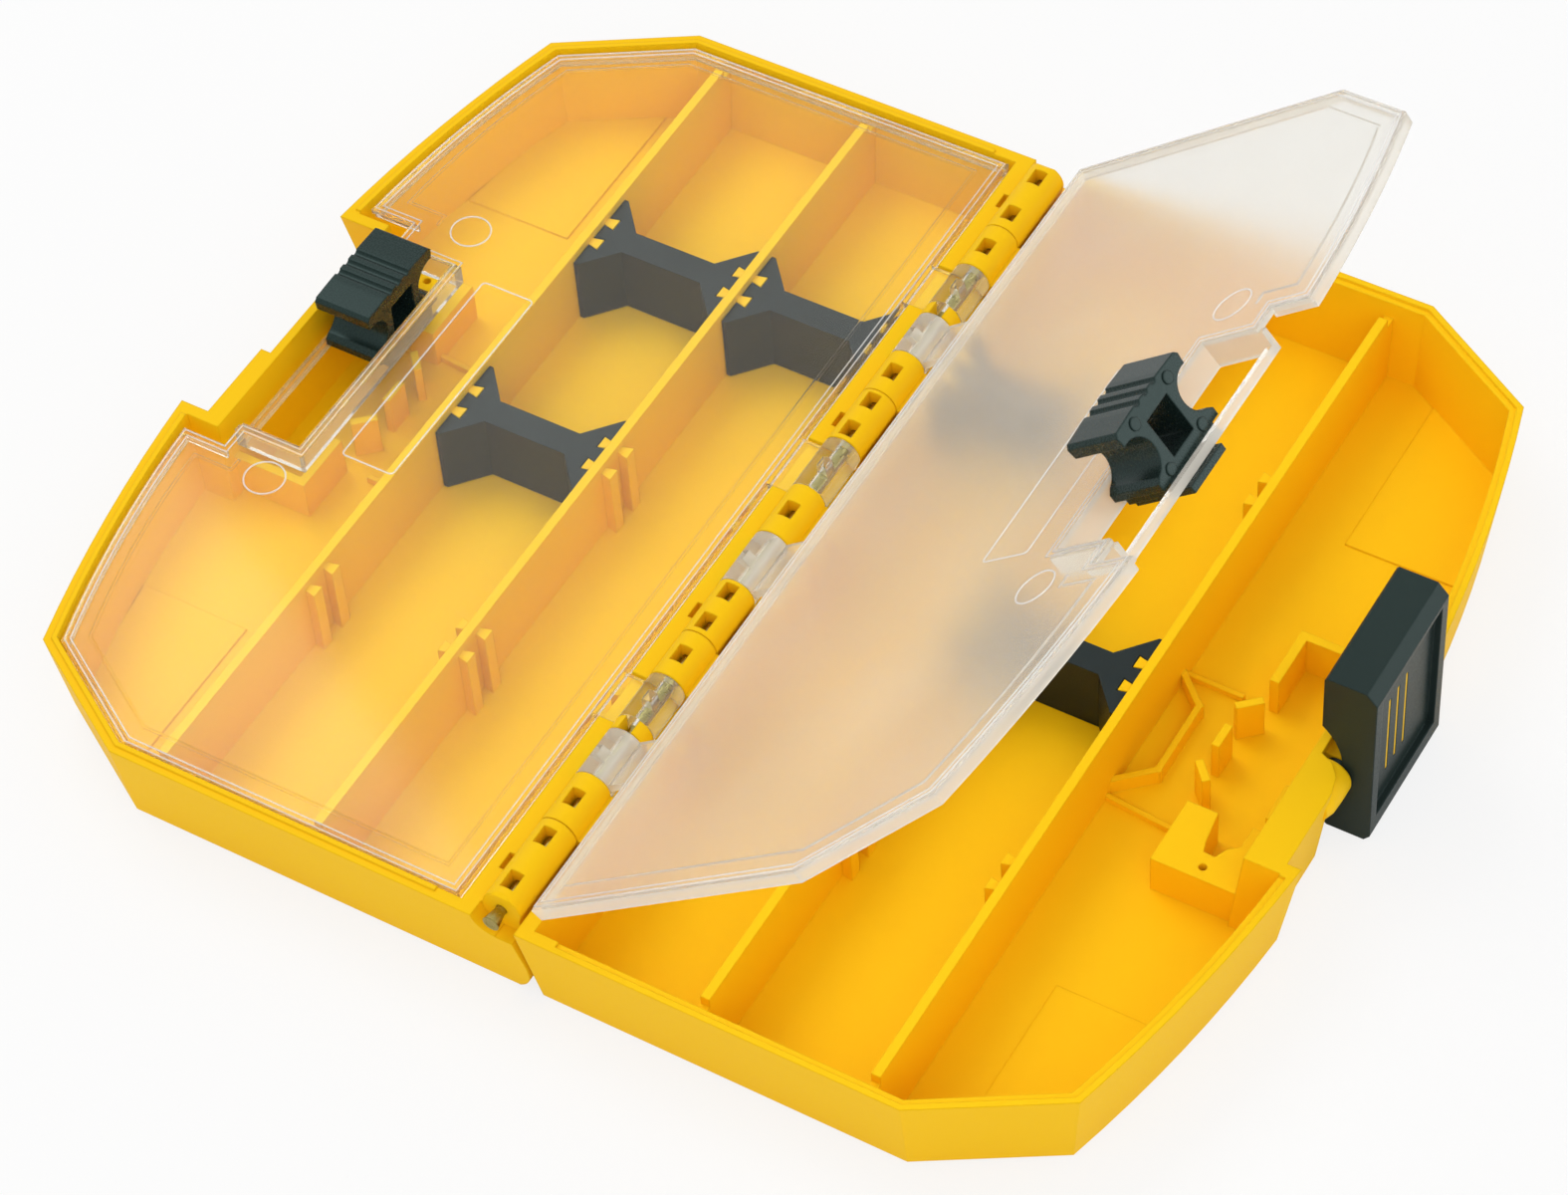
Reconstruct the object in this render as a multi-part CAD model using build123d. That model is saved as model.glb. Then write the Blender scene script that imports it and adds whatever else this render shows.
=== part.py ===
from build123d import *
import math
import os

# Folding accessory case: two moulded trays on one hinge pin, each with a clear lid,
# a sliding lid lock, loose cross dividers, and one rocking latch on the right tray.
# Everything is drawn about the hinge line: X runs across the case, Y along the hinge,
# Z = 0 is the rim plane of both trays. The right tray lies at +X. Millimetres.

# Trays, seen from above
case_length = 290.0
tray_depth = 29.0
front_x = 166.0  # hinge line to the outermost rim corner
side_end_x = 114.2  # where the straight end wall turns into the chamfer
chamfer_x = 150.5
chamfer_y = 123.2
front_bow = 2.0
recess_half = 38.3
draft = 3.5  # how far the wall leans in from rim to bottom
bottom_bevel = 1.6
rim_width = 3.4
wall_lean_inside = 2.6
floor_thickness = 2.2
hinge_wall_x = 6.6  # outer face of the right tray's hinge wall
hinge_wall_inner_x = 10.6
recess_inner_x = 152.0
left_recess_x = 157.5
left_step_y = -13.0
bar_x = 162.2
bar_end_y = -3.8
latch_wall_x = 154.5
core_x = (-2.6, 7.3)  # the pockets under the hinge saddle, from below
core_wall = 2.6
core_count = 3

# Rim seal: a ridge on the left rim stands in a rebate of the right rim
ridge_width = 1.4
ridge_height = 0.5
rebate_depth = 0.8
seal_gap = 0.25
corner_block = 17.5  # flat rim beside the hinge, without ridge or rebate

# Fixed walls and the dovetail ribs that take the loose dividers
divider_x = (56.1, 103.3)
divider_thickness = 2.6
divider_top = 2.9
divider_end_gap = 4.2  # the wall ends are lowered to let the lid's skirt pass
divider_end_drop = 3.0
rib_rows = (-69.8, 0.0, 69.8)
rib_spacing = 8.4
rib_reach = 3.2
rib_root = 1.9
rib_tip = 3.8
rib_top = 5.0

# Loose dividers
fork_tip = 13.5
fork_length = 9.5
bar_thickness = 8.0
divider_wall = 1.6
fork_fit = 0.3

# Hinge
pin_radius = 1.5
pin_clearance = 0.05
pin_head_radius = 2.3
pin_head_length = 4.0
knuckle_radius = 5.4
knuckle_air = 0.5
knuckle_side_gap = 0.3
knuckle_edges = (9.1, 27.2, 46.4, 61.9, 77.2, 81.8, 97.4, 113.6, 140.0)
window_width = 3.8
window_length = 5.4
window_floor = 2.6
flange_edge_x = 10.5  # the left tray's compartment ends here

# Lids
lid_gap = 0.7
lid_top = 0.6
lid_thickness = 2.0
lid_skirt = 4.0
lid_skirt_width = 1.8
lid_hinge_x = 12.3
lid_open = 40.0
border_inset = 6.5
border_groove = 0.8
border_depth = 0.35
lid_recess_half = 45.3
lid_recess_x = 147.5
pocket_half = 37.0
pocket_x = 129.0
pocket_depth = 8.8
pocket_wall = 2.0
rail_width = 2.0
rail_height = 2.4

# Lid locks
lock_half = 15.4
lock_top = 13.6
lock_plate = 4.4
lock_waist = 7.7
lock_foot_half = 13.8
lock_hole = 10.0
lock_hole_top = 8.4
lock_play = 0.3
pocket_lip = 1.2  # the pocket's floor reaches this far past the lid's front edge
lock_toe = 2.0
toe_x = 150.3  # the toe slides under this far, behind the tab on the tray's front wall
tab_x = 149.2
guide_height = 12.6  # walls on the tray's floor below the lock
ridge_pitch = 4.0
left_lock_y = 14.7
right_lock_y = -1.2

# Main latch
latch_x = 168.3
latch_inner_x = 154.0
latch_low_y = -3.3
latch_high_y = 36.9
latch_reach = 28.6  # half its height, so that it spans both trays
latch_wall = 2.4
latch_face = 3.4  # the outer wall is thicker, for the dish in it
dish_depth = 1.9
slit_width = 1.1
slit_low = -13.4
slit_top = 14.0
inlay_plate = 1.2
hook_height = 10.0
latch_waist = 5.4  # how far its end walls are hollowed beside the pivot
lug_radius = 2.6
latch_pivot = (157.4, -6.5)
boss_radius = 2.6
trunnion_radius = 1.5
trunnion_length = 2.2
latch_side_gap = 0.35
catch_reach = 1.9
catch_height = 2.4

half_length = case_length / 2
bottom = -tray_depth
floor_z = bottom + floor_thickness
shift = Location(((front_x - latch_x) / 2, 0, tray_depth))


def inset(points, d):
    """Move every side of a counter-clockwise outline inwards by d."""
    n = len(points)
    moved = []
    for i in range(n):
        (ax, ay), (bx, by), (cx, cy) = points[i - 1], points[i], points[(i + 1) % n]
        ux, uy = bx - ax, by - ay
        vx, vy = cx - bx, cy - by
        lu, lv = math.hypot(ux, uy), math.hypot(vx, vy)
        px, py = bx - uy / lu * d, by + ux / lu * d
        qx, qy = bx - vy / lv * d, by + vx / lv * d
        t = ((qx - px) * vy - (qy - py) * vx) / (ux * vy - uy * vx)
        moved.append((px + t * ux, py + t * uy))
    return moved


def tray_points(hinge_x, recess):
    """Plan of a tray at +X. recess lists the points between the two front corners."""
    half = [(hinge_x, -half_length), (side_end_x, -half_length), (chamfer_x, -chamfer_y),
            (front_x, -recess_half)]
    other = [(front_x, recess_half), (chamfer_x, chamfer_y), (side_end_x, half_length),
             (hinge_x, half_length)]
    return half + recess + other


def outline(points, z, bow=front_bow):
    """The plan as a face at height z, with the two front sides bowed outwards."""
    n = len(points)
    sides = []
    for i in range(n):
        a, b = points[i], points[(i + 1) % n]
        if i in (2, n - 4):
            mx, my = (a[0] + b[0]) / 2, (a[1] + b[1]) / 2
            length = math.hypot(b[0] - a[0], b[1] - a[1])
            out = ((b[1] - a[1]) / length * bow, -(b[0] - a[0]) / length * bow)
            mid = (mx + out[0], my + out[1], z)
            sides.append(ThreePointArc((*a, z), mid, (*b, z)))
        else:
            sides.append(Line((*a, z), (*b, z)))
    return make_face(Wire(sides))


def stack(points, levels):
    """A solid through the same plan at several heights, each with its own inset."""
    solids = []
    for (z0, d0), (z1, d1) in zip(levels, levels[1:]):
        faces = [outline(inset(points, d0), z0), outline(inset(points, d1), z1)]
        solids.append(loft(faces, ruled=True))
    return fuse(solids)


def fuse(solids):
    whole = solids[0]
    for solid in solids[1:]:
        whole = whole + solid
    return whole


def block(x0, x1, y0, y1, z0, z1):
    return Pos((x0 + x1) / 2, (y0 + y1) / 2, (z0 + z1) / 2) * Box(
        abs(x1 - x0), abs(y1 - y0), abs(z1 - z0))


def rod(radius, y0, y1, x=0.0, z=0.0):
    """A cylinder along Y."""
    return Pos(x, (y0 + y1) / 2, z) * Rot(90, 0, 0) * Cylinder(radius, abs(y1 - y0))


def along_y(points, y0, y1):
    """A prism along Y from a closed outline in X and Z."""
    face = make_face(Polyline(*[(x, 0, z) for x, z in points], close=True))
    return Pos(0, y1, 0) * extrude(face, y1 - y0, dir=(0, -1, 0))


def upright(points, z0, z1):
    """A prism along Z from a closed plan."""
    return extrude(make_face(Polyline(*[(x, y, z0) for x, y in points], close=True)),
                   z1 - z0, dir=(0, 0, 1))


def cavity(hinge_x):
    """The room inside a tray, between the hinge wall and the front wall."""
    recess = [(recess_inner_x, -recess_half - rim_width),
              (recess_inner_x, recess_half + rim_width)]
    rim = inset(tray_points(-20, recess), rim_width)
    k = len(rim)
    rim[4], rim[k - 5] = recess
    slope = rim[2][0] - rim[3][0]
    run = rim[3][1] - rim[2][1]
    for i, side in ((3, -1), (k - 4, 1)):
        y = side * (recess_half + rim_width)
        x = rim[2][0] - slope * (y * side + rim[2][1]) / -run
        rim[i] = (x, y)
    lean = wall_lean_inside / (tray_depth - floor_thickness)
    room = stack(rim, [(1.0, -lean), (floor_z, wall_lean_inside)])
    return room & block(hinge_x, 200, -200, 200, -50, 50)


def fixed_walls(inner_x):
    """The two full-length walls and the dovetail ribs on their sides."""
    top, half = -divider_top, divider_thickness / 2
    reach = half_length - rim_width
    parts = []
    for x in divider_x:
        wall = block(x - half, x + half, -reach - 0.4, reach + 0.4, floor_z - 0.5, top)
        for side in (-1, 1):
            end = side * (reach - divider_end_gap)
            wall -= block(x - 5, x + 5, end, side * (reach + 1), top + 1,
                          top - divider_end_drop)
        parts.append(wall)
    faces = [(inner_x, 1), (divider_x[0] - half, -1), (divider_x[0] + half, 1),
             (divider_x[1] - half, -1)]
    for x, side in faces:
        for row in rib_rows:
            for y in (row - rib_spacing / 2, row + rib_spacing / 2):
                parts.append(dovetail(x, side, y, 0.0, floor_z - 0.5, -rib_top))
    return parts


def dovetail(x, side, y, grow, z0, z1):
    """A rib on the wall face at x, wider at its tip; grow widens it into a slot."""
    root, tip = rib_root / 2 + grow, rib_tip / 2 + grow
    back, front = x - side * 0.8, x + side * (rib_reach + grow)
    return upright([(back, y - root), (front, y - tip), (front, y + tip), (back, y + root)],
                   z0, z1)


def lock_guides():
    """The low ribs, leaves, angle wall and slotted block that stand under the lid lock."""
    foot = floor_z - 0.4
    start = divider_x[1] + divider_thickness / 2
    p = pocket_x  # they line up with the pocket above them
    front = recess_inner_x + 0.6
    low_ribs = [((start, 21.3), (p - 8.7, 21.1)), ((start, -23.3), (p - 1.5, -25.3))]
    parts = [strip(a, b, 1.5, foot, floor_z + 1.8) for a, b in low_ribs]
    fence = [(start, 19.0), (start + 8.6, 11.1), (start + 8.8, -12.0), (start, -20.2)]
    parts += [strip(a, b, 1.8, foot, floor_z + 4.8) for a, b in zip(fence, fence[1:])]
    leaves = [((p - 4.1, 10.4), (p - 0.2, 13.9)), ((p - 3.6, -3.0), (p - 3.6, 2.4)),
              ((p - 4.4, -10.8), (p - 1.2, -14.3))]
    parts += [strip(a, b, 2.2, foot, floor_z + guide_height) for a, b in leaves]
    stop_top = floor_z + guide_height
    parts.append(block(p - 1.0, front, 37.0, 39.5, foot, stop_top))
    parts.append(block(p - 1.0, p + 1.6, 21.2, 37.5, foot, stop_top))
    catch = block(p - 1.8, front, -43.0, -22.7, foot, stop_top)
    catch -= upright([(p + 6.7, -22.0), (p + 16.5, -22.0), (p + 16.5, -29.5),
                      (p + 13.8, -31.6), (p + 12.1, -35.2), (p + 8.9, -35.0),
                      (p + 8.0, -31.8)], floor_z + 1.0, stop_top + 1)
    catch -= Pos(p + 10.9, -39.3, stop_top) * Cylinder(1.1, 8)
    parts.append(catch)
    parts.append(block(tab_x, recess_inner_x + 1.0, -24.0, -12.4, -pocket_depth,
                       -pocket_depth + rail_height))
    return parts


def strip(a, b, width, z0, z1):
    """A short upright wall from point a to point b."""
    length = math.hypot(b[0] - a[0], b[1] - a[1])
    angle = math.degrees(math.atan2(b[1] - a[1], b[0] - a[0]))
    return Pos((a[0] + b[0]) / 2, (a[1] + b[1]) / 2, (z0 + z1) / 2) * Rot(0, 0, angle) * Box(
        length + width, width, z1 - z0)


def floor_pads():
    """Shallow raised panels at both ends of the outer compartment."""
    x0 = divider_x[1] + 17.5
    pads = []
    for side in (-1, 1):
        pad = upright([(x0, side * 80.0), (x0, side * 134.0), (x0 + 7.0, side * 134.0),
                       (x0 + 27.0, side * 119.0), (x0 + 33.0, side * 80.0)][::side],
                      floor_z - 0.4, floor_z + 0.5)
        pads.append(pad)
    return pads


def fittings(points, inner_x):
    """Everything that stands inside a tray, cut back to stay inside its leaning wall."""
    core = inset(points, 1.0)
    keep = stack(core, [(0, 0), (bottom + 1, draft)])
    return fuse(fixed_walls(inner_x) + lock_guides() + floor_pads()) & keep


def rim_ring(points, width, z0, z1, sink):
    """A band that follows the rim, sink inside the outer edge."""
    outer = outline(inset(points, sink), z0)
    inner = outline(inset(points, sink + width), z0)
    return extrude(outer - inner, z1 - z0, dir=(0, 0, 1))


def knuckle_spans(kind):
    """Y ranges of the knuckles: left tray, right tray, or the left lid's three."""
    e = knuckle_edges
    gap = knuckle_side_gap / 2
    if kind == "left":
        one_side = [(e[1], e[2]), (e[4], e[5]), (e[7], e[8])]
        spans = one_side + [(-b, -a) for a, b in one_side]
    elif kind == "right":
        one_side = [(e[2], e[3]), (e[6], e[7])]
        spans = [(-e[0], e[0])] + one_side + [(-b, -a) for a, b in one_side]
    else:
        spans = [(e[0], e[1]), (-e[4], -e[3]), (e[5], e[6])]
    return [(a + gap, b - gap) for a, b in spans]


def windows(spans):
    """Openings in the top of the knuckles that show the pin: two in a long one."""
    cuts = []
    for a, b in spans:
        count = 2 if b - a > 18.5 else 1
        length = min(window_length, (b - a) * 0.36) if b - a > 6 else b - a + 1
        if count == 2:
            places = [a + (b - a) * 0.2, b - (b - a) * 0.22]
        else:
            places = [(a + b) / 2]
        for y in places:
            cuts.append(block(-window_width / 2, window_width / 2, y - length / 2,
                              y + length / 2, -window_floor, knuckle_radius + 1))
        if count == 2:
            y = (a + b) / 2
            cuts.append(block(1.8, knuckle_radius + 2, y - 2.6, y + 2.6, -2.2, 1.2))
    return cuts


def bore():
    return rod(pin_radius + pin_clearance, -half_length - 1, half_length + 1)


def left_tray():
    """Drawn at +X and turned half round, so its own Y runs the other way."""
    recess = [(latch_wall_x, -recess_half), (latch_wall_x, -left_step_y),
              (left_recess_x, -left_step_y), (left_recess_x, recess_half)]
    points = tray_points(-13.0, recess)
    body = stack(points, [(0, 0), (bottom + bottom_bevel, draft), (bottom, draft + bottom_bevel)])
    saddle = knuckle_radius + knuckle_air
    back = [(190, 2), (-4.9, 2), (-4.9, -saddle), (-7.2, -17), (-7.7, bottom),
            (190, bottom)]
    face = make_face(Polyline(*[(x, 0, z) for x, z in back], close=True))
    corner = face.vertices().sort_by(Axis.X)[0]
    face = fillet(corner, 9.0)
    keep = Pos(0, half_length + 1, 0) * extrude(face, case_length + 2, dir=(0, -1, 0))
    body = body & keep
    body -= cavity(flange_edge_x)
    body -= fuse(saddle_cores())
    trough = rod(saddle, -half_length - 1, half_length + 1)
    trough += block(-12, 0, -half_length - 1, half_length + 1, -saddle - 0.3, 1)
    body -= trough
    body += fittings(points, flange_edge_x)
    ridge = rim_ring(points, ridge_width, -0.2, ridge_height, rim_width - ridge_width)
    ridge -= block(-30, corner_block, -200, 200, -5, 5)
    ridge -= block(recess_inner_x - 1, 190, -recess_half - 4, recess_half + 4, -5, 5)
    body += ridge
    catch = along_y([(latch_wall_x - 1.5, -hook_height + 0.5 + catch_height),
                     (latch_wall_x + 0.4, -hook_height + 0.5 + catch_height),
                     (latch_wall_x + catch_reach, -hook_height + 1.6),
                     (latch_wall_x + catch_reach, -hook_height + 0.5),
                     (latch_wall_x - 2.0, -hook_height + 0.5)],
                    -latch_high_y + 3.2, -latch_low_y - 3.2)
    body += catch
    spans = [(-b, -a) for a, b in knuckle_spans("left")]
    for a, b in spans:
        long_end = max(abs(a), abs(b)) > knuckle_edges[7] + 2
        knuckle = rod(knuckle_radius, a, b) + block(-4.9, 6.5, a, b, -saddle - 1, 0)
        if long_end:
            knuckle &= end_dome(1 if b > 0 else -1)
        body += knuckle
    arms = [(-b, -a) for a, b in knuckle_spans("lid")]
    for a, b in arms:
        body -= block(4.0, flange_edge_x + 1, a - 0.5, b + 0.5, -lid_top - lid_thickness - 0.5, 1)
    for cut in windows(spans):
        body -= cut
    body -= rod(pin_radius + pin_clearance, -half_length + 6.0, half_length + 1)
    return Rot(0, 0, 180) * body


def saddle_cores():
    """Pockets from below that keep the thick wall under the hinge from sinking."""
    pitch = (case_length - 8.0) / core_count
    cores = []
    for i in range(core_count):
        y = -case_length / 2 + 4.0 + pitch * (i + 0.5)
        half = (pitch - core_wall) / 2
        cores.append(block(*core_x, y - half, y + half, bottom - 1, -knuckle_radius - 3.4))
    return cores


def end_dome(side):
    """Rounds off the outer end of an end knuckle."""
    outer = knuckle_edges[8]
    length = outer - knuckle_edges[7] + 4
    inner_y = knuckle_edges[7] - 2
    slope = 5.0
    profile = make_face(Polyline((0, -8, 0), (0, 8, 0), (length - slope, 8, 0),
                                 (length - slope, 6.4, 0), (length, 3.4, 0),
                                 (length, -8, 0), close=True))
    solid = extrude(profile, 30, dir=(0, 0, 1))
    solid = Pos(0, 0, -15) * solid
    turned = Rot(0, 0, 90) * Rot(90, 0, 0) * solid
    turned = Pos(0, inner_y, 0) * turned
    return turned if side > 0 else mirror(turned, about=Plane.XZ)


def right_tray():
    curve = [(bar_x, -14.0), (bar_x - 1.2, -9.0), (bar_x - 4.0, -5.4)]
    recess = [(bar_x, -recess_half)] + curve + [(latch_wall_x, bar_end_y),
                                                (latch_wall_x, recess_half)]
    points = tray_points(hinge_wall_x, recess)
    body = stack(points, [(0, 0), (bottom + bottom_bevel, draft), (bottom, draft + bottom_bevel)])
    body -= cavity(hinge_wall_inner_x)
    body += fittings(points, hinge_wall_inner_x)
    wide = ridge_width + 2 * seal_gap
    rebate = rim_ring(points, wide, -rebate_depth, 1, rim_width - wide + seal_gap)
    rebate -= block(-30, corner_block, -200, 200, -5, 5)
    rebate -= block(recess_inner_x - 1, 190, -recess_half - 4, recess_half + 4, -5, 5)
    body -= rebate
    spans = knuckle_spans("right")
    for a, b in spans:
        body += rod(knuckle_radius, a, b) + block(0, 8.5, a, b, -knuckle_radius, -0.2)
    for a, b in [(-b, -a) for a, b in knuckle_spans("lid")]:
        body -= block(hinge_wall_x - 2, hinge_wall_inner_x + 1, a - 0.5, b + 0.5,
                      -lid_top - lid_thickness - 0.5, 1)
    for cut in windows(spans):
        body -= cut
    body -= bore()
    px, pz = latch_pivot
    y0, y1 = latch_low_y + latch_wall + latch_side_gap, latch_high_y - latch_wall - latch_side_gap
    boss = rod(boss_radius, y0, y1, px, pz)
    boss += block(latch_wall_x - 3, px, y0, y1, pz - boss_radius, pz + boss_radius)
    for y in (y0, y1):
        boss -= rod(trunnion_radius + pin_clearance, y - 2.6, y + 2.6, px, pz)
    body += boss
    return body


def hinge_pin():
    y0, y1 = -half_length + 0.2, half_length - 6.5
    shaft = rod(pin_radius, y0 + pin_head_length, y1)
    head = Pos(0, y0 + pin_head_length / 2, 0) * Rot(90, 0, 0) * Cone(
        pin_radius, pin_head_radius, pin_head_length)
    return shaft + head


def lid():
    """A lid at +X, lying shut. Both lids are this one moulding."""
    recess = [(lid_recess_x, -lid_recess_half), (lid_recess_x, lid_recess_half)]
    grow = rim_width + lid_gap
    points = inset(tray_points(lid_hinge_x - grow, recess), grow)
    k = len(points)
    slope = (points[3][0] - points[2][0]) / (points[3][1] - points[2][1])
    for i, side in ((3, -1), (k - 4, 1)):
        x = points[2][0] + slope * (-lid_recess_half - points[2][1])
        points[i] = (x, side * lid_recess_half)
    points[4], points[k - 5] = recess
    top, under = -lid_top, -lid_top - lid_thickness
    low = -lid_top - lid_skirt
    plate = stack(points, [(top, 0.5), (top - 0.5, 0), (low, 0.25)])
    room = inset(points, lid_skirt_width)
    hollow = stack(room, [(under, 0), (low - 1, 0)])
    hollow -= block(pocket_x - pocket_wall - 1.5, 190, -lid_recess_half - 1, lid_recess_half + 1,
                    low - 2, 1)
    plate -= hollow
    groove = rim_ring(points, border_groove, top - border_depth, 1, border_inset)
    groove -= block(pocket_x - pocket_wall - 4, 190, -lid_recess_half - 3, lid_recess_half + 3,
                    -9, 9)
    plate -= groove
    floor = -pocket_depth
    outer = lid_recess_x + pocket_lip
    plate -= block(pocket_x, 190, -pocket_half, pocket_half, -20, 5)
    plate -= block(pocket_x - pocket_wall - 1.5, 190, -lid_recess_half - 1, lid_recess_half + 1,
                   low - 1, under)
    tub = block(pocket_x - pocket_wall, outer, -pocket_half - pocket_wall,
                pocket_half + pocket_wall, floor, under + 0.5)
    tub -= block(pocket_x, outer + 1, -pocket_half, pocket_half, floor - 1, 5)
    rail = block(outer - rail_width, outer, -pocket_half - 0.5, pocket_half + 0.5, floor,
                 floor + rail_height)
    plate = fuse([plate, tub, rail])
    for a, b in [(-b, -a) for a, b in knuckle_spans("lid")]:
        arm = block(0, lid_hinge_x + 1.5, a, b, under, top)
        arm += rod(knuckle_radius, a, b)
        mid = (a + b) / 2
        arm -= block(-1.3, 1.3, mid - 1.7, mid + 1.7, 0, 9)
        plate += arm
    plate -= bore()
    return plate


def lid_lock():
    """A lock at +X, centred on Y = 0; it slides along the rail of the lid's pocket."""
    x0 = pocket_x + lock_play
    x1 = lid_recess_x + pocket_lip - rail_width - lock_play
    top, low = lock_top, -pocket_depth + rail_height + lock_play
    under = top - lock_plate
    right = [(ridge_pitch * 1.75, top), (lock_half - 1.0, top - 0.3), (lock_half, top - 1.4),
             (lock_half - 0.4, under)]
    arc_mid = (lock_waist, (under + low + 3.4) / 2)
    foot_top = low + 3.4
    edges = []
    for s in (1, -1):
        p = [(s * y, z) for y, z in right]
        edges += [Line(p[0], p[1]), Line(p[1], p[2]), Line(p[2], p[3])]
        edges.append(ThreePointArc(p[3], (s * arc_mid[0], arc_mid[1]),
                                   (s * (lock_foot_half - 1.5), foot_top)))
        edges.append(Polyline((s * (lock_foot_half - 1.5), foot_top),
                              (s * lock_foot_half, foot_top - 1.2), (s * lock_foot_half, low)))
    edges.append(Line((lock_foot_half, low), (-lock_foot_half, low)))
    edges.append(Line(p[0], (right[0][0], right[0][1])))
    face = Plane.YZ * make_face(edges)
    body = Pos(x0, 0, 0) * extrude(face, x1 - x0, dir=(1, 0, 0))
    hole = block(x0 - 1, x1 + 1, -lock_hole / 2, lock_hole / 2, low + 3.2, lock_hole_top)
    body -= hole
    for i in (-1, 0, 1):
        body -= rod_x(1.15, x0 - 1, x1 + 1, i * ridge_pitch, top + 0.25)
    sole = -pocket_depth - lock_play
    body += block(x0, x1, -lock_foot_half + 3, lock_foot_half - 3, sole - 0.5, low + 1)
    body += block(x0 + 1.0, toe_x, -lock_foot_half + 4, lock_foot_half - 8, sole - lock_toe, sole)
    return body


def rod_x(radius, x0, x1, y, z):
    return Pos((x0 + x1) / 2, y, z) * Rot(0, 90, 0) * Cylinder(radius, abs(x1 - x0))


def loose_divider(x0, x1, row):
    """Spans two walls; each end is a fork whose slots take a pair of dovetail ribs."""
    a, b = x0 + fork_fit, x1 - fork_fit
    half = bar_thickness / 2
    z0, z1 = floor_z + 0.3, -rib_top
    plan = [(a, -fork_tip), (a + 1.2, -fork_tip), (a + fork_length, -half),
            (b - fork_length, -half), (b - 1.2, -fork_tip), (b, -fork_tip), (b, fork_tip),
            (b - 1.2, fork_tip), (b - fork_length, half), (a + fork_length, half),
            (a + 1.2, fork_tip), (a, fork_tip)]
    body = upright(plan, z0, z1)
    inner = half - divider_wall
    body -= block(a + fork_length - 2, b - fork_length + 2, -inner, inner, z0 - 1,
                  z1 - divider_wall)
    for x, side in ((x0, 1), (x1, -1)):
        for y in (-rib_spacing / 2, rib_spacing / 2):
            body -= dovetail(x, side, y, fork_fit, z0 - 1, z1 + 1)
    return Pos(0, row, 0) * body


def main_latch():
    x0, x1 = latch_inner_x, latch_x
    top, low = latch_reach, -latch_reach
    waist = latch_pivot[1]
    outer = [(x0, hook_height), (x0, top - 0.8), (x0 + 0.6, top), (x1 - 3.0, top),
             (x1, top - 3.4), (x1, low + 2.0), (x1 - 1.6, low), (x0 + 2.4, low),
             (x0, low + 2.2), (x0, low + 5.6)]
    places = [(x, 0, z) for x, z in outer]
    edges = [Polyline(*places),
             ThreePointArc(places[-1], (x0 + 3.9, 0, low + 11.4), (x0 + latch_waist, 0, waist)),
             ThreePointArc((x0 + latch_waist, 0, waist), (x0 + 4.3, 0, 4.4), places[0])]
    profile = make_face(edges)
    body = Pos(0, latch_high_y, 0) * extrude(profile, latch_high_y - latch_low_y, dir=(0, -1, 0))
    w = latch_wall
    y0, y1 = latch_low_y + w, latch_high_y - w
    face = x1 - latch_face
    room = along_y([(x0 - 1, low + w), (face, low + w), (face, top - w - 1.6),
                    (face - 1.6, top - w), (x0 + w, top - w), (x0 + w, hook_height + w),
                    (x0 - 1, hook_height)], y0, y1)
    body -= room
    body += along_y([(x0, hook_height), (x0 + w, hook_height), (x0 + w, hook_height + w + 1),
                     (x0, hook_height + w + 1)], y0 - 0.5, y1 + 0.5)
    dish = block(x1 - dish_depth, x1 + 1, latch_low_y + 3.4, latch_high_y - 3.4, low + 7, top - 4.8)
    body -= dish
    px, pz = latch_pivot
    for y, s in ((y0, 1), (y1, -1)):
        body += block(px, x1 - 2, y - s * w, y, pz - lug_radius, pz + lug_radius)
        body += rod(lug_radius, y - s * w, y, px, pz)
        body += rod(trunnion_radius, y - s * 0.5, y + s * trunnion_length, px, pz)
    for y in slit_places():
        body -= block(x1 - 5, x1 + 1, y - slit_width / 2, y + slit_width / 2, slit_low, slit_top)
    return body


def slit_places():
    middle = (latch_low_y + latch_high_y) / 2
    return [middle - 8.0 + 4.8 * i for i in range(3)]


def latch_inlay():
    """The second colour of the latch: a plate behind its face, with ribs in the slits."""
    back = latch_x - latch_face
    low, top = slit_low - 1.2, slit_top + 1.2
    ys = slit_places()
    body = block(back - inlay_plate, back - 0.05, ys[0] - 2.4, ys[-1] + 2.4, low, top)
    for y in ys:
        half = slit_width / 2 - 0.05
        body += block(back - 0.5, latch_x - dish_depth - 0.1, y - half, y + half,
                      slit_low + 0.1, slit_top - 0.1)
    return body


def save(node, shape):
    shape = shift * shape
    export_step(shape, "parts/" + node + ".step")


def to_left(shape):
    """Half a turn about the upright axis carries a right-hand piece to the left tray."""
    return Rot(0, 0, 180) * shape


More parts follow.
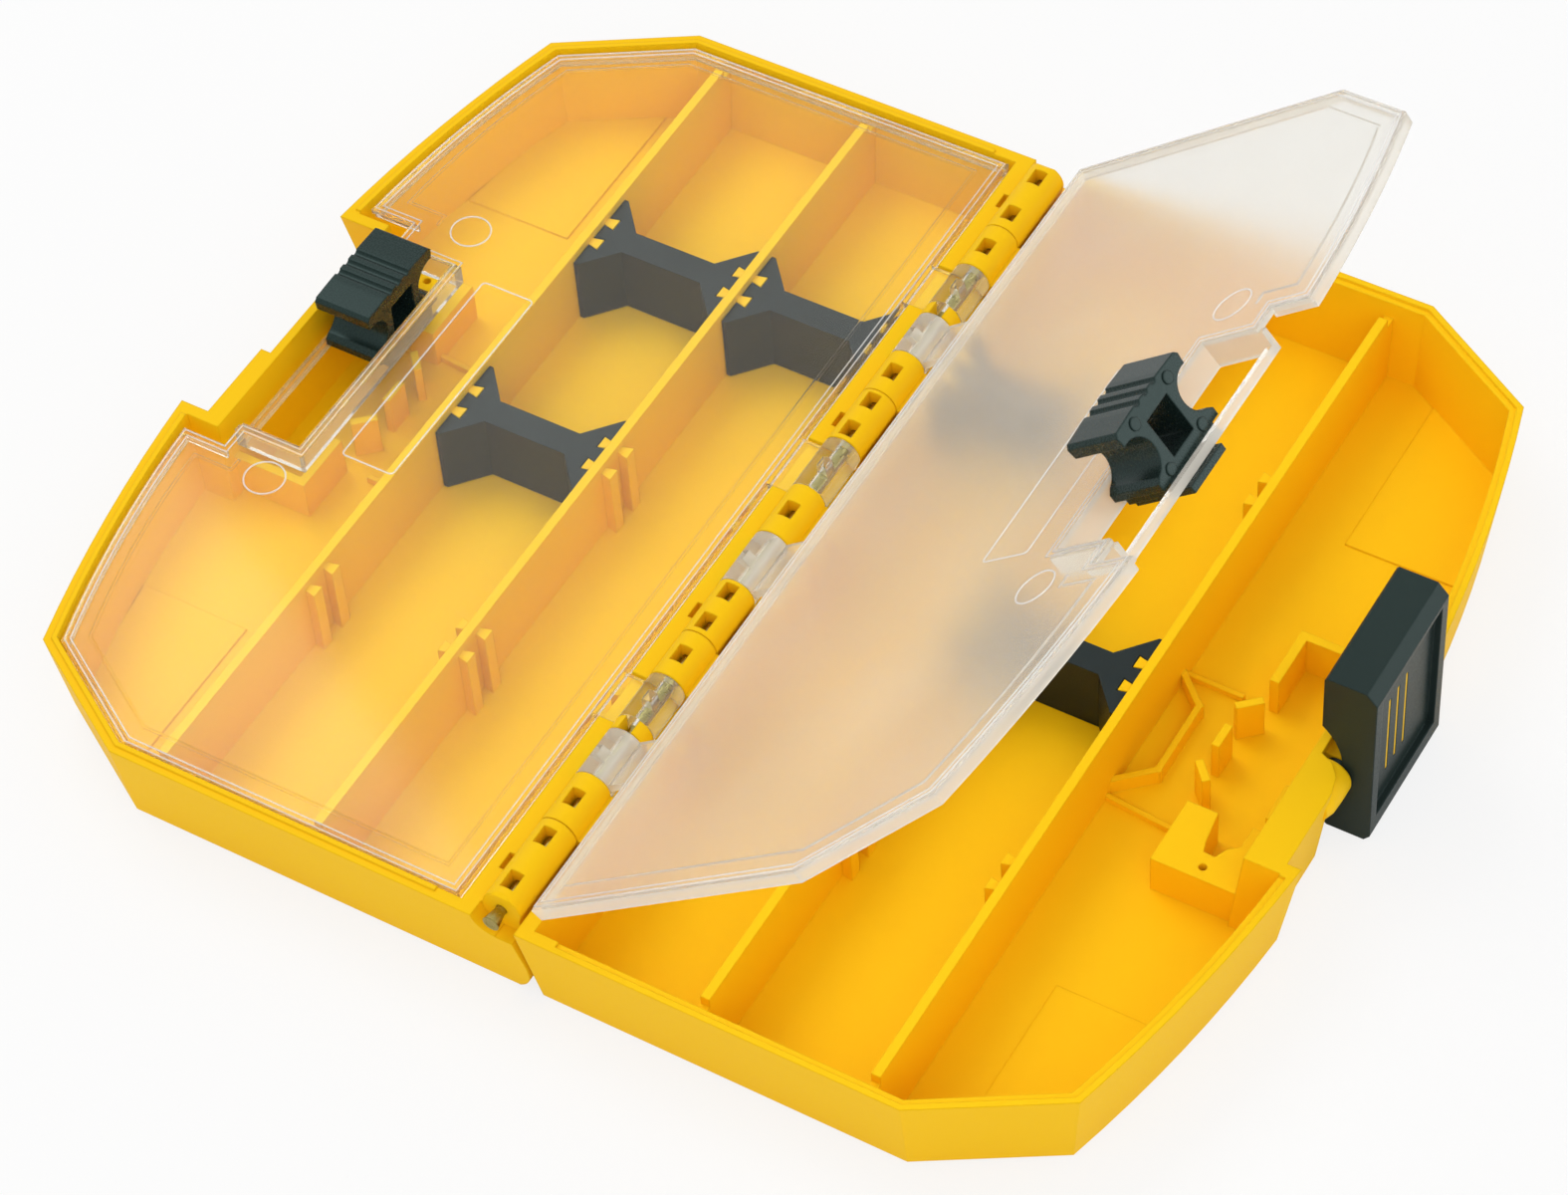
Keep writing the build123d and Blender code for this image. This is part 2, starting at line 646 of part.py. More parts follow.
def main():
    os.makedirs("parts", exist_ok=True)
    save("left_tray", left_tray())
    save("right_tray", right_tray())
    save("hinge_pin", hinge_pin())
    cover = lid()
    save("left_lid", to_left(cover))
    save("right_lid", Rot(0, -lid_open, 0) * cover)
    lock = lid_lock()
    save("left_lid_lock", to_left(Pos(0, -left_lock_y, 0) * lock))
    save("right_lid_lock", Rot(0, -lid_open, 0) * (Pos(0, right_lock_y, 0) * lock))
    half = divider_thickness / 2
    middle = (divider_x[0] + half, divider_x[1] - half)
    left_inner = (flange_edge_x, divider_x[0] - half)
    right_inner = (hinge_wall_inner_x, divider_x[0] - half)
    far, centre = rib_rows[2], rib_rows[1]
    for n, (span, row) in enumerate([(middle, far), (left_inner, far), (middle, centre)], 1):
        save("left_divider_" + str(n), to_left(loose_divider(*span, -row)))
    for n, (span, row) in enumerate([(right_inner, far), (middle, centre)], 1):
        save("right_divider_" + str(n), loose_divider(*span, row))
    save("main_latch", main_latch())
    save("latch_inlay", latch_inlay())


if __name__ == "__main__":
    main()
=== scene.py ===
# %% [markdown]
# # A folding accessory case, dressed for the camera
# The moulded trays, lids, locks and latch arrive from the solid model as a fixed frame.
# This lesson gives each of them the look of its own plastic, adds the fine moulded detail
# that the solids leave out, and then lights the case and points a camera at it.

# %% Load the frame
import math
import bmesh
import bpy
from mathutils import Matrix, Vector


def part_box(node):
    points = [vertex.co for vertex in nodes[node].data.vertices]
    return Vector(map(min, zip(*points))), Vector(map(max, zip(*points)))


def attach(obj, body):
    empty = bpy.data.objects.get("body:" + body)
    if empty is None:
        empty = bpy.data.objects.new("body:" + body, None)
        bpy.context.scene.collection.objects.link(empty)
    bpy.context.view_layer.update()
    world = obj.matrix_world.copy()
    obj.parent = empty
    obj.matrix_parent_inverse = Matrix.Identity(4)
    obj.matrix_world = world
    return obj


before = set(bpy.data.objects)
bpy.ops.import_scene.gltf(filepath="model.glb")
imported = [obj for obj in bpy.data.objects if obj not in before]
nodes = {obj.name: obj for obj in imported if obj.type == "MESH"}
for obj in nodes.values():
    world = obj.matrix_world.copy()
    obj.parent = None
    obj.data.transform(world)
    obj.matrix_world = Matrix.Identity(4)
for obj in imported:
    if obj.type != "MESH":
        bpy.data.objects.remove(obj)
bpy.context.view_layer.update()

# %% [markdown]
# ## Where things are
# The hinge pin runs along Y. Everything on a lid is easiest to draw with the lid lying shut
# and the hinge line at the origin, in millimetres, and then to carry into place: half a turn
# for the left lid, and the opening angle for the right one.

# %% Places of the hinge and the lids
pin_low, pin_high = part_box("hinge_pin")
hinge_x = (pin_low.x + pin_high.x) / 2
hinge_z = (pin_low.z + pin_high.z) / 2
lid_angle = math.radians(40.0)
to_hinge = Matrix.Translation((hinge_x, 0, hinge_z)) @ Matrix.Scale(0.001, 4)
lid_place = {
    "right": to_hinge @ Matrix.Rotation(-lid_angle, 4, "Y"),
    "left": to_hinge @ Matrix.Rotation(math.pi, 4, "Z"),
}
print("hinge line at x", round(hinge_x * 1000, 2), "z", round(hinge_z * 1000, 2), "mm")


# %% [markdown]
# ## Small helpers
# Colours are given as sRGB hex values, but shaders work in linear light, so one
# function turns them over. Another adds a node together with its settings and links, and two
# more start a material and put an object into the scene.

# %% Colour and node helpers
def hex_colour(text, alpha=1.0):
    parts = [int(text[i:i + 2], 16) / 255 for i in (1, 3, 5)]
    linear = [c / 12.92 if c <= 0.04045 else ((c + 0.055) / 1.055) ** 2.4 for c in parts]
    return (*linear, alpha)


def add(tree, kind, inputs=None, **settings):
    node = tree.nodes.new(kind)
    for name, value in settings.items():
        setattr(node, name, value)
    for name, value in (inputs or {}).items():
        if isinstance(value, bpy.types.NodeSocket):
            tree.links.new(value, node.inputs[name])
        else:
            node.inputs[name].default_value = value
    return node


def new_material(name):
    material = bpy.data.materials.new(name)
    material.use_nodes = True
    material.node_tree.nodes.clear()
    return material, material.node_tree


def new_object(name, data):
    thing = bpy.data.objects.new(name, data)
    bpy.context.scene.collection.objects.link(thing)
    return thing


MM = 1000.0  # millimetres in a metre: a length is mm / MM, a pattern's scale is MM / mm


# %% [markdown]
# ## Yellow polypropylene
# The trays are injection moulded in a tough, slightly waxy plastic. It is a strong warm
# yellow with a satin face from a spark-eroded mould, a little light passes into thin walls,
# and every edge has a small radius that catches a pale line of light. The radius is drawn by
# a Bevel node, which costs no geometry.

# %% Yellow polypropylene
def satin_plastic(name, colour, shade, roughness, grain_mm, grain_depth, edge_mm, scatter=0.0,
                  radius=(0.004, 0.002, 0.0005), specular=0.5, sheen_tint="#FFFFFF"):
    """A moulded plastic: slow colour drift, fine mould grain and softened edges."""
    material, tree = new_material(name)
    spot = add(tree, "ShaderNodeTexCoord")
    drift = add(tree, "ShaderNodeTexNoise", {"Vector": spot.outputs["Object"],
                                             "Scale": MM / 60, "Detail": 2.0})
    blend = add(tree, "ShaderNodeMix", {"Factor": drift.outputs["Fac"]}, data_type="RGBA")
    blend.inputs[6].default_value = hex_colour(colour)
    blend.inputs[7].default_value = hex_colour(shade)
    grain = add(tree, "ShaderNodeTexNoise", {"Vector": spot.outputs["Object"],
                                             "Scale": MM / grain_mm, "Detail": 3.0})
    gloss = add(tree, "ShaderNodeMapRange", {"Value": grain.outputs["Fac"],
                                             "From Min": 0.3, "From Max": 0.7,
                                             "To Min": roughness - 0.05,
                                             "To Max": roughness + 0.06})
    edge = add(tree, "ShaderNodeBevel", {"Radius": edge_mm / MM}, samples=6)
    bump = add(tree, "ShaderNodeBump", {"Height": grain.outputs["Fac"],
                                        "Normal": edge.outputs["Normal"],
                                        "Strength": 1.0, "Distance": grain_depth / MM})
    shader = add(tree, "ShaderNodeBsdfPrincipled", {"Base Color": blend.outputs[2],
                                                    "Roughness": gloss.outputs["Result"],
                                                    "Normal": bump.outputs["Normal"],
                                                    "IOR": 1.49,
                                                    "Specular IOR Level": specular,
                                                    "Specular Tint": hex_colour(sheen_tint),
                                                    "Subsurface Weight": scatter,
                                                    "Subsurface Radius": radius,
                                                    "Subsurface Scale": 1.0})
    add(tree, "ShaderNodeOutputMaterial", {"Surface": shader.outputs["BSDF"]})
    return material


yellow = satin_plastic("yellow_moulded_polypropylene", "#FFCD16", "#FFC911", 0.45, 0.45, 0.010,
                       0.6, scatter=0.02, specular=0.12, sheen_tint="#FFE9A8")
print("yellow polypropylene mixed")

# %% [markdown]
# ## Black glass-filled nylon
# The latch, locks and cross dividers are a near-black plastic with a faint green cast. The
# locks are polished enough to show long grey highlights, so their roughness is lower than the
# latch's, and the dividers are the dullest of the three.

# %% Black nylon
black = satin_plastic("black_moulded_nylon", "#16221F", "#1A2825", 0.27, 0.5, 0.006, 0.6,
                      specular=0.40, sheen_tint="#BFE2DE")
latch_black = satin_plastic("black_latch_plastic", "#202B29", "#242F2D", 0.34, 0.5, 0.006, 0.6,
                            specular=0.26, sheen_tint="#BFE2DE")
divider_black = satin_plastic("black_divider_plastic", "#12181A", "#171E20", 0.45, 0.5, 0.01,
                              0.3, specular=0.4, sheen_tint="#CBE0E4")


# %% [markdown]
# ## Clear polycarbonate, frosted in the field
# A lid is one clear moulding. Its flat field is finely etched on the underside, so what lies
# close behind it stays sharp and what lies further back turns milky. The skirt and the walls
# of the pocket are seen edge-on, through far more plastic, and look whiter. The shader tells
# the two apart by the angle between a face and the lid's own upward direction, which turns
# with the lid because it is read in the object's own coordinates.

# %% Clear polycarbonate
def clear_plastic(name, lid_up, field_haze, wall_haze, blur):
    material, tree = new_material(name)
    spot = add(tree, "ShaderNodeTexCoord")
    ray = add(tree, "ShaderNodeLightPath")
    flat = add(tree, "ShaderNodeVectorMath", {0: spot.outputs["Normal"], 1: lid_up},
               operation="DOT_PRODUCT")
    facing = add(tree, "ShaderNodeMath", {0: flat.outputs["Value"]}, operation="ABSOLUTE")
    cloud = add(tree, "ShaderNodeTexNoise", {"Vector": spot.outputs["Object"],
                                             "Scale": MM / 45, "Detail": 2.0})
    drift = add(tree, "ShaderNodeMapRange", {"Value": cloud.outputs["Fac"], "From Min": 0.3,
                                             "From Max": 0.7, "To Min": field_haze * 0.9,
                                             "To Max": field_haze * 1.1})
    haze = add(tree, "ShaderNodeMapRange", {"Value": facing.outputs["Value"], "From Min": 0.35,
                                            "From Max": 0.75, "To Min": wall_haze,
                                            "To Max": drift.outputs["Result"]})
    frost = add(tree, "ShaderNodeTexNoise", {"Vector": spot.outputs["Object"],
                                             "Scale": MM / 0.6, "Detail": 2.0})
    edge = add(tree, "ShaderNodeBevel", {"Radius": 0.4 / MM}, samples=4)
    tooth = add(tree, "ShaderNodeBump", {"Height": frost.outputs["Fac"],
                                         "Normal": edge.outputs["Normal"],
                                         "Strength": 1.0, "Distance": 0.003 / MM})
    glass = add(tree, "ShaderNodeBsdfPrincipled", {"Base Color": hex_colour("#FAFCFB"),
                                                   "Roughness": blur,
                                                   "IOR": 1.25,
                                                   "Transmission Weight": 1.0,
                                                   "Normal": tooth.outputs["Normal"]})
    through = add(tree, "ShaderNodeBsdfTransparent", {"Color": hex_colour("#F6FAF8")})
    milk = add(tree, "ShaderNodeBsdfDiffuse", {"Color": hex_colour("#FCF5E9")})
    milky = add(tree, "ShaderNodeMixShader", {"Fac": haze.outputs["Result"],
                                              1: glass.outputs["BSDF"],
                                              2: milk.outputs["BSDF"]})
    mix = add(tree, "ShaderNodeMixShader", {"Fac": ray.outputs["Is Shadow Ray"],
                                            1: milky.outputs["Shader"],
                                            2: through.outputs["BSDF"]})
    add(tree, "ShaderNodeOutputMaterial", {"Surface": mix.outputs["Shader"]})
    return material


raised_up = (-math.sin(lid_angle), 0, math.cos(lid_angle))
clear = {
    "left": clear_plastic("clear_polycarbonate_left", (0, 0, 1), field_haze=0.022,
                          wall_haze=0.20, blur=0.06),
    "right": clear_plastic("clear_polycarbonate_right", raised_up, field_haze=0.19,
                           wall_haze=0.42, blur=0.25),
}
print("two lids' worth of clear plastic mixed")

# %% [markdown]
# ## Lines that catch the light
# The raised lines on a lid are too small to refract anything that the eye can follow. What shows
# is a pale streak of light along each, painted as a highlight: a plastic half clear and half
# white.

# %% Half-clear plastic with a painted white highlight for the raised lines
line_painted_highlight, tree = new_material("raised_line_clear_with_painted_highlight")
# The white half is a painted highlight: white colour put where light catches the clear line.
painted_highlight_white = add(tree, "ShaderNodeBsdfPrincipled", {"Base Color": hex_colour("#FFFFFF"),
                                               "Roughness": 0.2, "IOR": 1.49})
gap = add(tree, "ShaderNodeBsdfTransparent", {"Color": (1, 1, 1, 1)})
half_clear = add(tree, "ShaderNodeMixShader", {"Fac": 0.42, 1: gap.outputs["BSDF"],
                                               2: painted_highlight_white.outputs["BSDF"]})
add(tree, "ShaderNodeOutputMaterial", {"Surface": half_clear.outputs["Shader"]})

# %% [markdown]
# ## The hinge wire
# A length of drawn wire with a pale brass plating runs through all the knuckles.

# %% Brass-plated wire
wire, tree = new_material("plated_wire")
spot = add(tree, "ShaderNodeTexCoord")
streak = add(tree, "ShaderNodeTexNoise", {"Vector": spot.outputs["Object"], "Scale": MM / 1.5,
                                          "Detail": 4.0})
rough = add(tree, "ShaderNodeMapRange", {"Value": streak.outputs["Fac"], "To Min": 0.18,
                                         "To Max": 0.4})
metal = add(tree, "ShaderNodeBsdfPrincipled", {"Base Color": hex_colour("#A2965A"),
                                               "Metallic": 1.0,
                                               "Roughness": rough.outputs["Result"]})
add(tree, "ShaderNodeOutputMaterial", {"Surface": metal.outputs["BSDF"]})

# %% [markdown]
# ## One finish for each node
# Every CAD node gets exactly one of these materials. The loose dividers share the dull black.

# %% Paint the CAD nodes
finish = {"left_tray": yellow, "right_tray": yellow, "hinge_pin": wire,
          "left_lid": clear["left"], "right_lid": clear["right"], "left_lid_lock": black,
          "right_lid_lock": black, "main_latch": latch_black, "latch_inlay": yellow}
for name, node in nodes.items():
    node.data.materials.clear()
    node.data.materials.append(finish.get(name, divider_black))
print(len(nodes), "nodes painted")

# %% [markdown]
# ## Raised lines by Geometry Nodes
# The lids carry fine raised lines: two along the border, two rings beside the pocket and a
# long plain frame. Each is a bead swept along a path. A sweep is what Curve to Mesh does, so
# one small node tree serves all of them, with the bead's radius and its sides as inputs.

# %% A tree that sweeps a bead along a path
def bead_tree():
    tree = bpy.data.node_groups.new("raised_line", "GeometryNodeTree")
    face = tree.interface
    face.new_socket("Geometry", in_out="INPUT", socket_type="NodeSocketGeometry")
    radius = face.new_socket("Bead radius", in_out="INPUT", socket_type="NodeSocketFloat")
    sides = face.new_socket("Sides", in_out="INPUT", socket_type="NodeSocketInt")
    paint = face.new_socket("Material", in_out="INPUT", socket_type="NodeSocketMaterial")
    face.new_socket("Geometry", in_out="OUTPUT", socket_type="NodeSocketGeometry")
    start = add(tree, "NodeGroupInput")
    path = add(tree, "GeometryNodeMeshToCurve", {"Mesh": start.outputs["Geometry"]})
    round_bead = add(tree, "GeometryNodeCurvePrimitiveCircle",
                     {"Resolution": start.outputs["Sides"],
                      "Radius": start.outputs["Bead radius"]})
    swept = add(tree, "GeometryNodeCurveToMesh", {"Curve": path.outputs["Curve"],
                                                  "Profile Curve": round_bead.outputs["Curve"],
                                                  "Fill Caps": True})
    real = add(tree, "GeometryNodeRealizeInstances", {"Geometry": swept.outputs["Mesh"]})
    painted = add(tree, "GeometryNodeSetMaterial", {"Geometry": real.outputs["Geometry"],
                                                    "Material": start.outputs["Material"]})
    add(tree, "NodeGroupOutput", {"Geometry": painted.outputs["Geometry"]})
    return tree, {"radius": radius.identifier, "sides": sides.identifier,
                  "paint": paint.identifier}


def grown_by(tree, values, seed, name):
    """Runs a node tree on a seed mesh and returns the result as a plain mesh object."""
    holder = new_object(name + "_seed", seed)
    modifier = holder.modifiers.new("grow", "NODES")
    modifier.node_group = tree
    for identifier, value in values.items():
        modifier[identifier] = value
    seen_by = bpy.context.evaluated_depsgraph_get()
    mesh = bpy.data.meshes.new_from_object(holder.evaluated_get(seen_by))
    holder.modifiers.clear()
    bpy.data.objects.remove(holder)
    print(name, len(mesh.polygons), "faces")
    return new_object(name, mesh)


def path_mesh(name, loops, place):
    """Closed paths through points given in millimetres in a lid's flat frame."""
    points, edges = [], []
    for loop in loops:
        first = len(points)
        points += [place @ Vector(point) for point in loop]
        count = len(loop)
        edges += [(first + i, first + (i + 1) % count) for i in range(count)]
    mesh = bpy.data.meshes.new(name)
    mesh.from_pydata(points, edges, [])
    return mesh


bead, bead_inputs = bead_tree()

# %% [markdown]
# ## Where the lines run
# All paths are drawn once, on a lid that lies shut at +X with its top face at z = -0.6 mm. The
# same paths then go through both placing matrices, because both lids are one moulding.

# %% Rings, frame and border lines on the lids
bead_radius = 0.28
bead_sides = 8
lid_top = -0.6
ring_radius = 5.6
ring_places = [(131.0, 50.5), (131.0, -50.5)]
frame_x = (101.5, 117.5)
frame_y = (-36.0, 34.0)


def ring(x, y, radius, steps=48):
    return [(x + radius * math.cos(2 * math.pi * i / steps),
             y + radius * math.sin(2 * math.pi * i / steps), lid_top) for i in range(steps)]


def rounded_frame(x0, x1, y0, y1, corner=1.2, steps=4):
    """A rectangle with its corners turned in short arcs."""
    corners = [(x1 - corner, y1 - corner, 0), (x0 + corner, y1 - corner, 90),
               (x0 + corner, y0 + corner, 180), (x1 - corner, y0 + corner, 270)]
    points = []
    for cx, cy, start in corners:
        for i in range(steps + 1):
            angle = math.radians(start + 90 * i / steps)
            points.append((cx + corner * math.cos(angle), cy + corner * math.sin(angle), lid_top))
    return points


# The lid's plan, counter-clockwise, with the pocket for the lock left out of it
lid_corners = [(12.3, -140.9), (113.06, -140.9), (146.8, -120.64), (160.55, -45.3),
               (147.5, -45.3), (147.5, -37.0), (129.0, -37.0), (129.0, 37.0), (147.5, 37.0),
               (147.5, 45.3), (160.55, 45.3), (146.8, 120.64), (113.06, 140.9), (12.3, 140.9)]
bowed_sides = {2: 2.0, 10: 2.0}  # side number: how far its middle stands out
border_insets = (0.85, 2.3)


def border(distance, steps=12):
    """The lid's plan drawn this far inside its edge, with the two front sides bowed."""
    sides = []
    for i, start in enumerate(lid_corners):
        a, b = Vector(start), Vector(lid_corners[(i + 1) % len(lid_corners)])
        along = (b - a).normalized()
        sides.append((a + Vector((-along.y, along.x)) * distance, along))
    corners = []
    for i, (b, v) in enumerate(sides):
        a, u = sides[i - 1]
        reach = ((b.x - a.x) * v.y - (b.y - a.y) * v.x) / (u.x * v.y - u.y * v.x)
        corners.append(a + u * reach)
    points = []
    for i, a in enumerate(corners):
        b, along = corners[(i + 1) % len(corners)], sides[i][1]
        out, bow = Vector((along.y, -along.x)), bowed_sides.get(i, 0)
        for j in range(steps if bow else 1):
            t = j / steps
            spot = a.lerp(b, t) + out * bow * 4 * t * (1 - t)
            points.append((spot.x, spot.y, lid_top))
    return points


for side, place in lid_place.items():
    loops = [ring(x, y, ring_radius) for x, y in ring_places]
    loops.append(rounded_frame(*frame_x, *frame_y))
    loops += [border(distance) for distance in border_insets]
    seed = path_mesh(side + "_lid_lines", loops, place)
    values = {bead_inputs["radius"]: bead_radius / MM, bead_inputs["sides"]: bead_sides,
              bead_inputs["paint"]: line_painted_highlight}
    lines = grown_by(bead, values, seed, side + "_lid_raised_lines")
    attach(lines, "lid_" + side)

# %% [markdown]
# ## Ejector marks on the locks
# Round pins push a moulding out of its mould and leave shallow discs behind. Each lock shows
# four of them on its front face, around the square hole. Discs that repeat on given places
# are instances on points: one short cylinder, turned to face forward, on four vertices.

# %% A tree that sets a disc on every point
def disc_tree():
    tree = bpy.data.node_groups.new("ejector_marks", "GeometryNodeTree")
    face = tree.interface
    face.new_socket("Geometry", in_out="INPUT", socket_type="NodeSocketGeometry")
    radius = face.new_socket("Radius", in_out="INPUT", socket_type="NodeSocketFloat")
    height = face.new_socket("Height", in_out="INPUT", socket_type="NodeSocketFloat")
    turn = face.new_socket("Turn", in_out="INPUT", socket_type="NodeSocketVector")
    paint = face.new_socket("Material", in_out="INPUT", socket_type="NodeSocketMaterial")
    face.new_socket("Geometry", in_out="OUTPUT", socket_type="NodeSocketGeometry")
    start = add(tree, "NodeGroupInput")
    disc = add(tree, "GeometryNodeMeshCylinder", {"Vertices": 28,
                                                  "Radius": start.outputs["Radius"],
                                                  "Depth": start.outputs["Height"]})
    placed = add(tree, "GeometryNodeInstanceOnPoints", {"Points": start.outputs["Geometry"],
                                                        "Instance": disc.outputs["Mesh"],
                                                        "Rotation": start.outputs["Turn"]})
    real = add(tree, "GeometryNodeRealizeInstances", {"Geometry": placed.outputs["Instances"]})
    painted = add(tree, "GeometryNodeSetMaterial", {"Geometry": real.outputs["Geometry"],
                                                    "Material": start.outputs["Material"]})
    add(tree, "NodeGroupOutput", {"Geometry": painted.outputs["Geometry"]})
    return tree, {"radius": radius.identifier, "height": height.identifier,
                  "turn": turn.identifier, "paint": paint.identifier}


discs, disc_inputs = disc_tree()

# %% [markdown]
# ## Where the marks sit
# The places are (y, z) on the lock's front face, measured from the middle of the lock. The
# two locks stand at different points of their travel, so each has its own shift along Y.

# %% Four marks on the front face of each lock
mark_radius = 1.75
mark_height = 0.6
lock_front_x = 146.4
lock_shift = {"left": -14.7, "right": -1.2}  # along Y, with the lid in its flat frame
mark_places = [(8.3, 10.6), (-8.3, 10.6), (8.0, -4.2), (-8.0, -4.2)]
face_turn = {"left": (0, math.radians(90), 0), "right": (0, math.radians(90) - lid_angle, 0)}
for side, place in lid_place.items():
    spots = bpy.data.meshes.new(side + "_lock_mark_places")
    spots.from_pydata([place @ Vector((lock_front_x, lock_shift[side] + y, z))
                       for y, z in mark_places], [], [])
    values = {disc_inputs["radius"]: mark_radius / MM, disc_inputs["height"]: mark_height / MM,
              disc_inputs["turn"]: face_turn[side], disc_inputs["paint"]: black}
    marks = grown_by(discs, values, spots, side + "_lock_ejector_marks")
    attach(marks, "lock_" + side)

# %% [markdown]
# ## Turned pieces
# A half outline spun about a line along Y gives every round piece here. A closed outline makes
# a ring. An open one makes a solid, and its two ends are capped.

# %% Spin an outline
def turned(name, outline_mm, centre, closed, steps):
    """Spins points given as (radius, Y from the centre), in mm, about a line along Y."""
    work = bmesh.new()
    rows = []
    for i in range(steps):
        angle = 2 * math.pi * i / steps
        rows.append([work.verts.new((centre.x + r / MM * math.cos(angle), centre.y + y / MM,
                                     centre.z + r / MM * math.sin(angle)))
                     for r, y in outline_mm])
    count = len(outline_mm)
    for i in range(steps):
        a, b = rows[i], rows[(i + 1) % steps]
        for j in range(count if closed else count - 1):
            k = (j + 1) % count
            work.faces.new((a[j], b[j], b[k], a[k]))
    if not closed:
        work.faces.new([row[0] for row in rows])
        work.faces.new([row[-1] for row in rows])
    bmesh.ops.recalc_face_normals(work, faces=work.faces)
    mesh = bpy.data.meshes.new(name)
    work.to_mesh(mesh)
    work.free()
    return new_object(name, mesh)


# %% [markdown]
# ## The drawn end of the hinge wire
# The head of the wire is hollow at its tip and ends in a bright lip, which is a turned ring.

# %% Lip on the head of the pin
pin_end = Vector((hinge_x, pin_low.y, hinge_z))
lip = turned("pin_head_lip", [(1.35, 0.1), (2.2, 0.1), (2.2, -0.05), (1.9, -0.17),
                              (1.5, -0.17), (1.35, -0.05)], pin_end, closed=True, steps=32)
lip.data.materials.append(wire)
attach(lip, "pin")

# %% [markdown]
# ## The rounded boss beside the latch
# The right tray's front rail ends in a fat round boss, and the latch's waist is hollowed to
# swing over it. Its outline is spun about the latch's pivot line, with a softened shoulder
# towards the latch.

# %% Boss on the latch's pivot line
latch_pivot_x, latch_pivot_z = 157.1, -6.6  # from the hinge line
latch_line = Vector((hinge_x + latch_pivot_x / MM, 0, hinge_z + latch_pivot_z / MM))
boss = turned("latch_boss_end", [(4.9, -16.0), (5.9, -13.0), (6.1, -9.0), (6.1, -4.7),
                                 (5.8, -4.1), (5.1, -3.75)], latch_line, closed=False, steps=48)
boss.data.materials.append(yellow)
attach(boss, "right_shell")

# %% [markdown]
# ## Floor
# The case lies on a plain white table, which is white to the camera and still takes a soft
# shadow. Only rays from the camera or through a lid see its glow.

# %% Floor
table_reach = 25.0
table_z = -0.5 / MM
floor_mesh = bpy.data.meshes.new("table")
floor_mesh.from_pydata([(x * table_reach, y * table_reach, table_z)
                        for x, y in ((-1, -1), (1, -1), (1, 1), (-1, 1))], [], [(0, 1, 2, 3)])
table = new_object("table", floor_mesh)
white, tree = new_material("white_table")
path = add(tree, "ShaderNodeLightPath")
paper = add(tree, "ShaderNodeBsdfDiffuse", {"Color": hex_colour("#F4F4F4")})
glow = add(tree, "ShaderNodeEmission", {"Color": (1, 1, 1, 1), "Strength": 1.0})
seen = add(tree, "ShaderNodeMixShader", {"Fac": 0.8, 1: paper.outputs["BSDF"],
                                         2: glow.outputs["Emission"]})
either = add(tree, "ShaderNodeMath", {0: path.outputs["Is Camera Ray"],
                                      1: path.outputs["Is Transmission Ray"]},
             operation="MAXIMUM")
pick = add(tree, "ShaderNodeMixShader", {"Fac": either.outputs["Value"],
                                         1: paper.outputs["BSDF"], 2: seen.outputs["Shader"]})
add(tree, "ShaderNodeOutputMaterial", {"Surface": pick.outputs["Shader"]})
floor_mesh.materials.append(white)

# %% [markdown]
# ## Background and lamps
# The world is bright to the camera and in reflections, and dimmer as a source of light. Two
# big soft lamps stand over the case, and a small low one lights the edges on the latch's side.

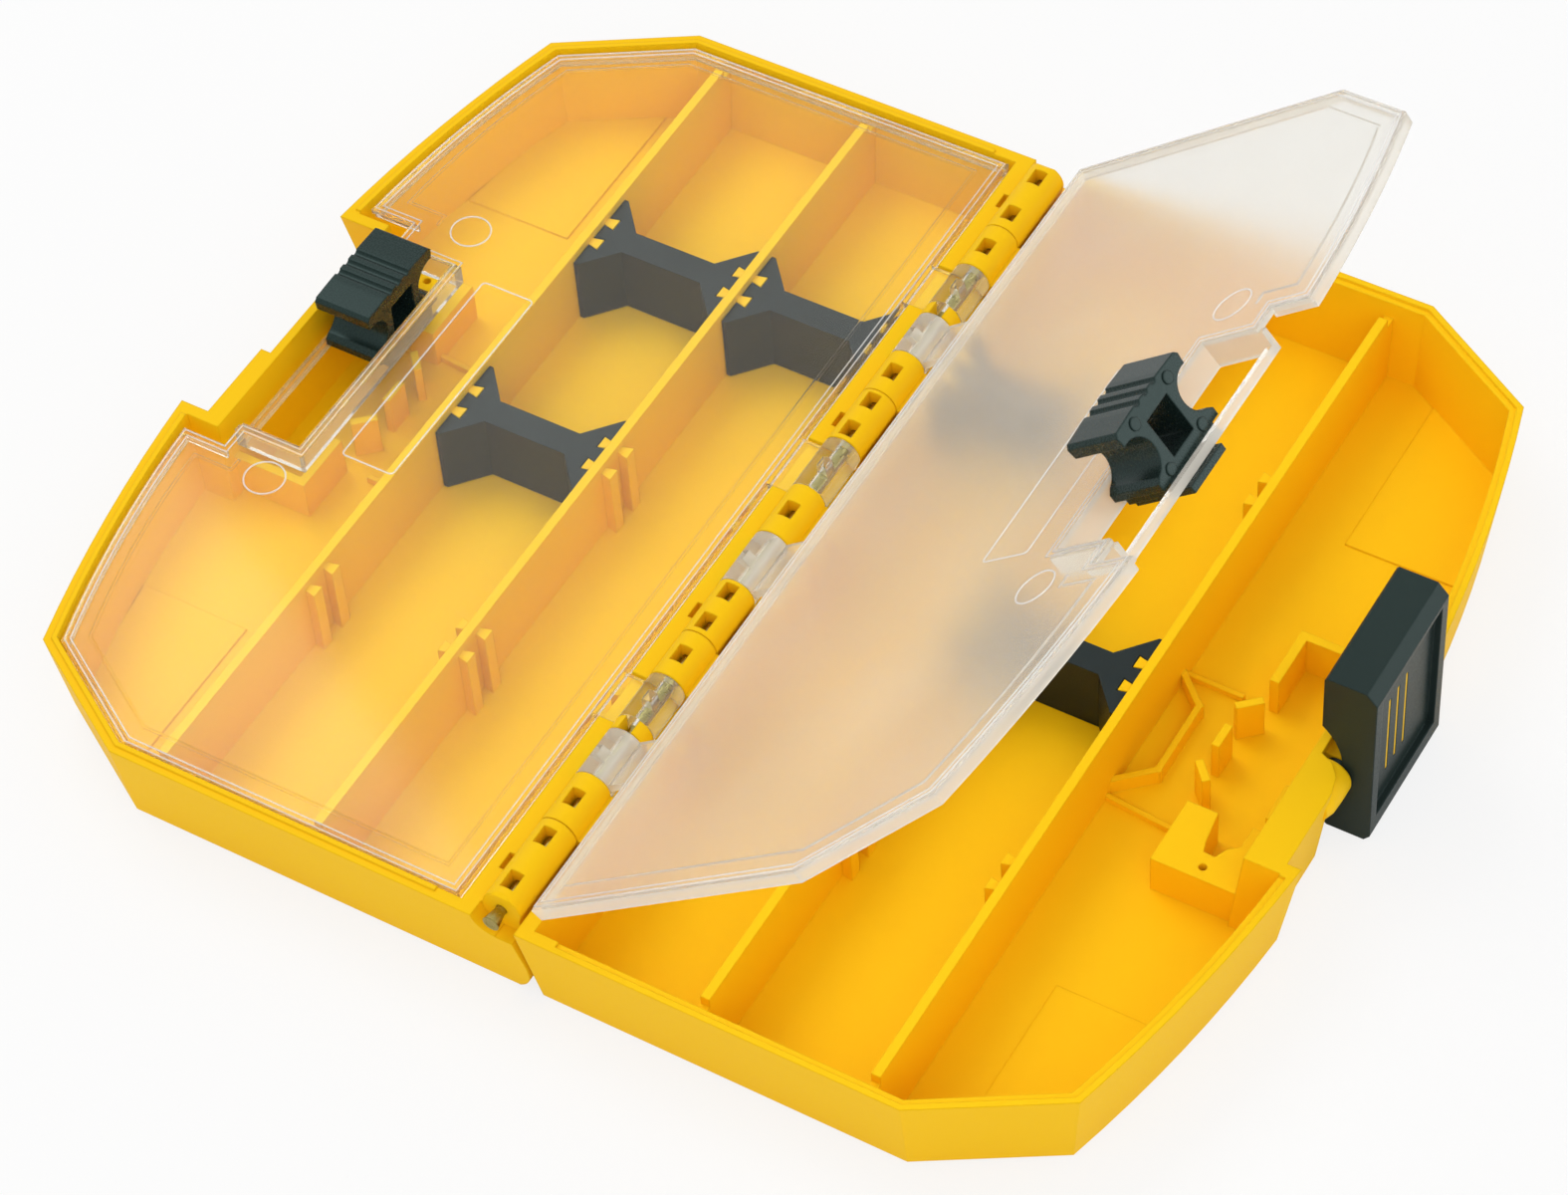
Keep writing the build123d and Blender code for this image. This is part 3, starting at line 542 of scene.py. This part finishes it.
# %% World and lamps
world = bpy.data.worlds.new("studio")
bpy.context.scene.world = world
world.use_nodes = True
tree = world.node_tree
tree.nodes.clear()
path = add(tree, "ShaderNodeLightPath")
dim = add(tree, "ShaderNodeBackground", {"Color": (1, 1, 1, 1), "Strength": 0.70})
bright = add(tree, "ShaderNodeBackground", {"Color": (1, 1, 1, 1), "Strength": 1.0})
sees = add(tree, "ShaderNodeMath", {0: path.outputs["Is Camera Ray"],
                                    1: path.outputs["Is Glossy Ray"]}, operation="MAXIMUM")
pick = add(tree, "ShaderNodeMixShader", {"Fac": sees.outputs["Value"],
                                         1: dim.outputs["Background"],
                                         2: bright.outputs["Background"]})
add(tree, "ShaderNodeOutputWorld", {"Surface": pick.outputs["Shader"]})


def soft_lamp(name, place, target, size, power):
    lamp = bpy.data.lights.new(name, "AREA")
    lamp.size = size
    lamp.energy = power
    holder = new_object(name, lamp)
    aim = Vector(target) - Vector(place)
    turn = aim.to_track_quat("-Z", "Y").to_matrix().to_4x4()
    holder.matrix_world = Matrix.Translation(place) @ turn


soft_lamp("key_lamp", (-0.9, 0.3, 1.5), (0, 0, 0), size=0.9, power=6.2)
soft_lamp("fill_lamp", (0.9, -1.1, 1.3), (0, 0, 0), size=1.4, power=6.6)
soft_lamp("edge_lamp", (1.25, 0.9, 0.26), (0.16, 0.02, 0.04), size=0.5, power=1.6)

# %% [markdown]
# ## Camera
# The camera stands above the near right corner and looks down about 50 degrees, turned a
# few degrees about its own axis. These numbers were fitted to the corners of the trays.

# %% Camera
photo_width = 1575  # pixels
focal_length = 4835.9  # in the same pixels
sensor_width = 36.0
camera_data = bpy.data.cameras.new("camera")
camera = new_object("camera", camera_data)
azimuth, elevation, roll = (math.radians(a) for a in (124.063, -50.198, -4.927))
look = Vector((math.cos(elevation) * math.cos(azimuth), math.cos(elevation) * math.sin(azimuth),
               math.sin(elevation)))
right = look.cross(Vector((0, 0, 1))).normalized()
up = right.cross(look)
turned_right = math.cos(roll) * right + math.sin(roll) * up
turned_up = -math.sin(roll) * right + math.cos(roll) * up
stand = Vector((0.452606 + hinge_x, -0.675244, 0.945486 + hinge_z))
camera.matrix_world = Matrix((
    (turned_right.x, turned_up.x, -look.x, stand.x),
    (turned_right.y, turned_up.y, -look.y, stand.y),
    (turned_right.z, turned_up.z, -look.z, stand.z),
    (0, 0, 0, 1)))
camera_data.sensor_width = sensor_width
camera_data.lens = sensor_width * focal_length / photo_width
camera_data.clip_start = 0.05
camera_data.clip_end = 30
bpy.context.scene.camera = camera
bpy.context.scene.view_settings.view_transform = "Standard"
print("camera lens", round(camera_data.lens, 1), "mm")
